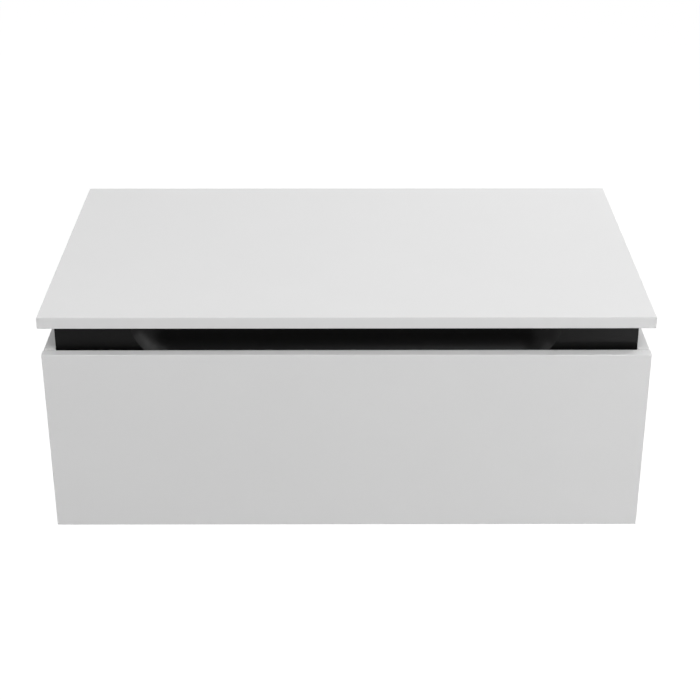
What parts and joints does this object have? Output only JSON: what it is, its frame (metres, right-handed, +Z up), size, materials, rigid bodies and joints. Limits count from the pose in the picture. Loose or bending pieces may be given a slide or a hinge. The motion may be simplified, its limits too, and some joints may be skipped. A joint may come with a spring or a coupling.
{
  "type": "vanity cabinet",
  "caption": "Wall-hung white vanity cabinet with a floating top on a black shadow-gap frame and a handleless full-width drawer opened by a scooped grip rail.",
  "frame": {"origin": "midway between the two wall-fixing holes, in the wall plane", "axes": "+X to the right, +Y into the wall (the front faces -Y), +Z up"},
  "size_m": [0.75, 0.45, 0.3],
  "materials": {
    "white_board": "satin white lacquer",
    "black_board": "satin black lacquer",
    "drawer_board": "matt white melamine",
    "dowel_wood": "plain",
    "runner_steel": "zinc plated",
    "zinc_steel": "zinc plated",
    "grey_plastic": "moulded",
    "lever_plastic": "moulded",
    "buffer_rubber": "soft, translucent"
  },
  "bodies": {
    "carcass": {"top_panel": "white_board", "left_side_panel": "white_board", "right_side_panel": "white_board", "bottom_panel": "white_board", "upper_back_rail": "white_board", "lower_back_rail": "white_board", "grip_rail": "black_board", "left_gap_rail": "black_board", "right_gap_rail": "black_board", "bottom_dowels": "dowel_wood", "lower_rail_dowels": "dowel_wood", "upper_rail_dowels": "dowel_wood", "grip_rail_dowels": "dowel_wood", "left_cabinet_runner": "runner_steel", "right_cabinet_runner": "runner_steel", "gap_rail_screws": "zinc_steel", "top_brackets": "zinc_steel", "top_bracket_screws": "zinc_steel", "wall_plates": "zinc_steel", "wall_plate_screws": "zinc_steel", "cabinet_runner_screws": "zinc_steel", "front_buffers": "buffer_rubber"},
    "drawer": {"drawer_front": "white_board", "drawer_box_front": "drawer_board", "drawer_left_side": "drawer_board", "drawer_right_side": "drawer_board", "drawer_bottom": "drawer_board", "drawer_left_back": "drawer_board", "drawer_right_back": "drawer_board", "trap_left_wall": "drawer_board", "trap_right_wall": "drawer_board", "trap_front_wall": "drawer_board", "left_drawer_runner": "runner_steel", "right_drawer_runner": "runner_steel", "left_lock_clip": "grey_plastic", "right_lock_clip": "grey_plastic", "lock_clip_screws": "zinc_steel", "drawer_front_screws": "zinc_steel", "drawer_box_screws": "zinc_steel", "drawer_bottom_screws": "zinc_steel"},
    "left_middle": {"left_middle_runner": "runner_steel"},
    "left_lower_roller_cage": {"left_lower_cage": "grey_plastic", "left_lower_rollers": "runner_steel"},
    "left_upper_roller_cage": {"left_upper_cage": "grey_plastic", "left_upper_rollers": "runner_steel"},
    "left_lever": {"left_lock_lever": "lever_plastic"},
    "right_middle": {"right_middle_runner": "runner_steel"},
    "right_lower_roller_cage": {"right_lower_cage": "grey_plastic", "right_lower_rollers": "runner_steel"},
    "right_upper_roller_cage": {"right_upper_cage": "grey_plastic", "right_upper_rollers": "runner_steel"},
    "right_lever": {"right_lock_lever": "lever_plastic"}
  },
  "joints": [
    {"name": "drawer_slide", "type": "slide", "parent": "carcass", "child": "drawer", "axis": [0, -1, 0], "range_m": [0, 0.34]},
    {"name": "left_middle_slide", "type": "slide", "parent": "carcass", "child": "left_middle", "axis": [0, -1, 0], "range_m": [0, 0.17]},
    {"name": "left_lower_cage_slide", "type": "slide", "parent": "carcass", "child": "left_lower_roller_cage", "axis": [0, -1, 0], "range_m": [0, 0.085]},
    {"name": "left_upper_cage_slide", "type": "slide", "parent": "carcass", "child": "left_upper_roller_cage", "axis": [0, -1, 0], "range_m": [0, 0.255]},
    {"name": "left_lever_turn", "type": "hinge", "parent": "drawer", "child": "left_lever", "pos_m": [-0.30647, -0.377, -0.2037], "axis": [0, 0, 1], "range_deg": [0, 15], "stiffness_Nm_per_rad": 0.02},
    {"name": "right_middle_slide", "type": "slide", "parent": "carcass", "child": "right_middle", "axis": [0, -1, 0], "range_m": [0, 0.17]},
    {"name": "right_lower_cage_slide", "type": "slide", "parent": "carcass", "child": "right_lower_roller_cage", "axis": [0, -1, 0], "range_m": [0, 0.085]},
    {"name": "right_upper_cage_slide", "type": "slide", "parent": "carcass", "child": "right_upper_roller_cage", "axis": [0, -1, 0], "range_m": [0, 0.255]},
    {"name": "right_lever_turn", "type": "hinge", "parent": "drawer", "child": "right_lever", "pos_m": [0.30647, -0.377, -0.2037], "axis": [0, 0, -1], "range_deg": [0, 15], "stiffness_Nm_per_rad": 0.02}
  ],
  "couplings": [
    {"joint": "left_middle_slide", "follows": "drawer_slide", "ratio": 0.5},
    {"joint": "left_lower_cage_slide", "follows": "drawer_slide", "ratio": 0.25},
    {"joint": "left_upper_cage_slide", "follows": "drawer_slide", "ratio": 0.75},
    {"joint": "right_middle_slide", "follows": "drawer_slide", "ratio": 0.5},
    {"joint": "right_lower_cage_slide", "follows": "drawer_slide", "ratio": 0.25},
    {"joint": "right_upper_cage_slide", "follows": "drawer_slide", "ratio": 0.75}
  ]
}
